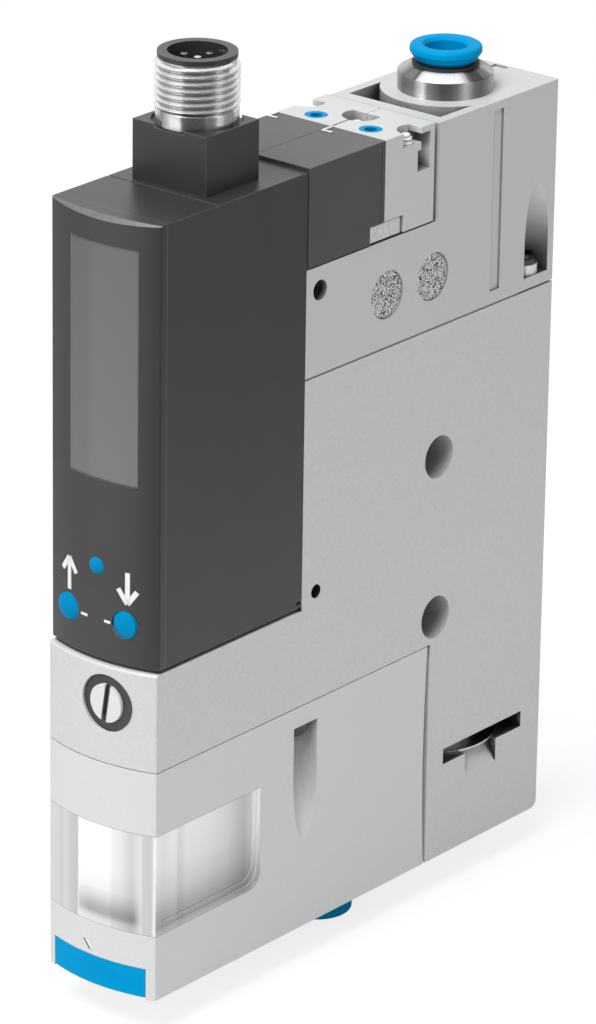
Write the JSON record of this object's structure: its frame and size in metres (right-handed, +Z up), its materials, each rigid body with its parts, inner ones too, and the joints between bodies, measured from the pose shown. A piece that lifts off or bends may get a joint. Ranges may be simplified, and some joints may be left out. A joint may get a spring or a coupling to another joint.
{
  "type": "vacuum ejector",
  "caption": "Slim block-shaped vacuum ejector with display, pilot valves, filter drawer and push-in tube ports.",
  "frame": {"origin": "midway between the two mounting holes, in the middle of the module's width", "axes": "+Z up along the height, -Y towards the display, X across the narrow width"},
  "size_m": [0.02, 0.0912, 0.1401],
  "materials": {
    "body_grey": "fine speckled light grey",
    "head_grey": "satin light grey",
    "housing_grey": "satin light grey",
    "clear": "clear moulded plastic",
    "filter_white": "sintered white",
    "blue": "satin blue",
    "display_dark": "satin dark grey",
    "screen": "grey screen",
    "screen_lens": "tinted lens",
    "rubber": "black",
    "board_green": "coated laminate",
    "sensor_case": "moulded",
    "steel": "turned",
    "black_steel": "blackened",
    "nickel": "nickel plated",
    "contact_gold": "gold plated",
    "brass": "turned",
    "valve_white": "satin off-white",
    "clip_grey": "satin grey",
    "sinter": "porous sintered metal"
  },
  "bodies": {
    "module": {"main_body": "body_grey", "valve_head": "head_grey", "port_seal": "rubber", "filter_housing": "housing_grey", "housing_seal": "rubber", "display_housing": "display_dark", "display_cover": "display_dark", "display_lens": "screen_lens", "lcd_panel": "screen", "button_mat": "rubber", "circuit_board": "board_green", "control_board": "board_green", "pressure_sensor": "sensor_case", "display_screw": "steel", "plug_block": "display_dark", "plug_shell": "nickel", "plug_insert": "display_dark", "plug_pins": "contact_gold", "left_coil": "display_dark", "right_coil": "display_dark", "left_valve": "valve_white", "right_valve": "valve_white", "valve_screws": "steel", "valve_clips": "clip_grey", "valve_gasket": "rubber", "supply_fitting": "nickel", "supply_ring": "rubber", "supply_claw": "steel", "supply_seal": "rubber", "vacuum_fitting": "nickel", "vacuum_ring": "rubber", "vacuum_claw": "steel", "vacuum_seal": "rubber", "flow_bush": "display_dark", "vent_discs": "sinter", "jet_nozzle": "brass", "receiver_nozzle": "brass", "nozzle_seals": "rubber", "silencer": "filter_white", "silencer_clip": "steel", "head_screws": "steel", "housing_screws": "black_steel"},
    "filter_drawer": {"filter_window": "clear", "filter_element": "filter_white", "filter_seal": "rubber"},
    "release_slide": {"release_slide": "blue"},
    "left_button": {"left_button": "blue"},
    "right_button": {"right_button": "blue"},
    "set_button": {"set_button": "blue"},
    "left_plunger": {"left_plunger": "steel"},
    "right_plunger": {"right_plunger": "steel"},
    "left_override": {"left_override": "blue"},
    "right_override": {"right_override": "blue"},
    "supply_collar": {"supply_collar": "blue"},
    "vacuum_collar": {"vacuum_collar": "blue"},
    "flow_screw": {"flow_screw": "steel"},
    "check_disc": {"check_disc": "rubber"}
  },
  "joints": [
    {"name": "filter_drawer_slide", "type": "slide", "parent": "module", "child": "filter_drawer", "axis": [0, -1, 0], "range_m": [0, 0.026]},
    {"name": "release_slide_press", "type": "slide", "parent": "module", "child": "release_slide", "axis": [0, 0, -1], "range_m": [0, 0.0025]},
    {"name": "left_button_press", "type": "slide", "parent": "module", "child": "left_button", "axis": [0, 1, 0], "range_m": [0, 0.0004], "stiffness_N_per_m": 1500},
    {"name": "right_button_press", "type": "slide", "parent": "module", "child": "right_button", "axis": [0, 1, 0], "range_m": [0, 0.0004], "stiffness_N_per_m": 1500},
    {"name": "set_button_press", "type": "slide", "parent": "module", "child": "set_button", "axis": [0, 1, 0], "range_m": [0, 0.0004], "stiffness_N_per_m": 1500},
    {"name": "left_plunger_stroke", "type": "slide", "parent": "module", "child": "left_plunger", "axis": [0, -1, 0], "range_m": [0, 0.0006], "stiffness_N_per_m": 800},
    {"name": "right_plunger_stroke", "type": "slide", "parent": "module", "child": "right_plunger", "axis": [0, -1, 0], "range_m": [0, 0.0006], "stiffness_N_per_m": 800},
    {"name": "left_override_press", "type": "slide", "parent": "module", "child": "left_override", "axis": [0, 0, -1], "range_m": [0, 0.0006], "stiffness_N_per_m": 1500},
    {"name": "right_override_press", "type": "slide", "parent": "module", "child": "right_override", "axis": [0, 0, -1], "range_m": [0, 0.0006], "stiffness_N_per_m": 1500},
    {"name": "supply_collar_press", "type": "slide", "parent": "module", "child": "supply_collar", "axis": [0, 0, -1], "range_m": [0, 0.0005], "stiffness_N_per_m": 3000},
    {"name": "vacuum_collar_press", "type": "slide", "parent": "module", "child": "vacuum_collar", "axis": [0, 0, 1], "range_m": [0, 0.0005], "stiffness_N_per_m": 3000},
    {"name": "flow_screw_turn", "type": "hinge", "parent": "module", "child": "flow_screw", "pos_m": [0.0021, -0.0629, -0.00765], "axis": [0, 1, 0], "range_deg": [-360, 360]},
    {"name": "check_disc_lift", "type": "slide", "parent": "module", "child": "check_disc", "axis": [0, 0, 1], "range_m": [0, 0.0015], "stiffness_N_per_m": 20}
  ]
}
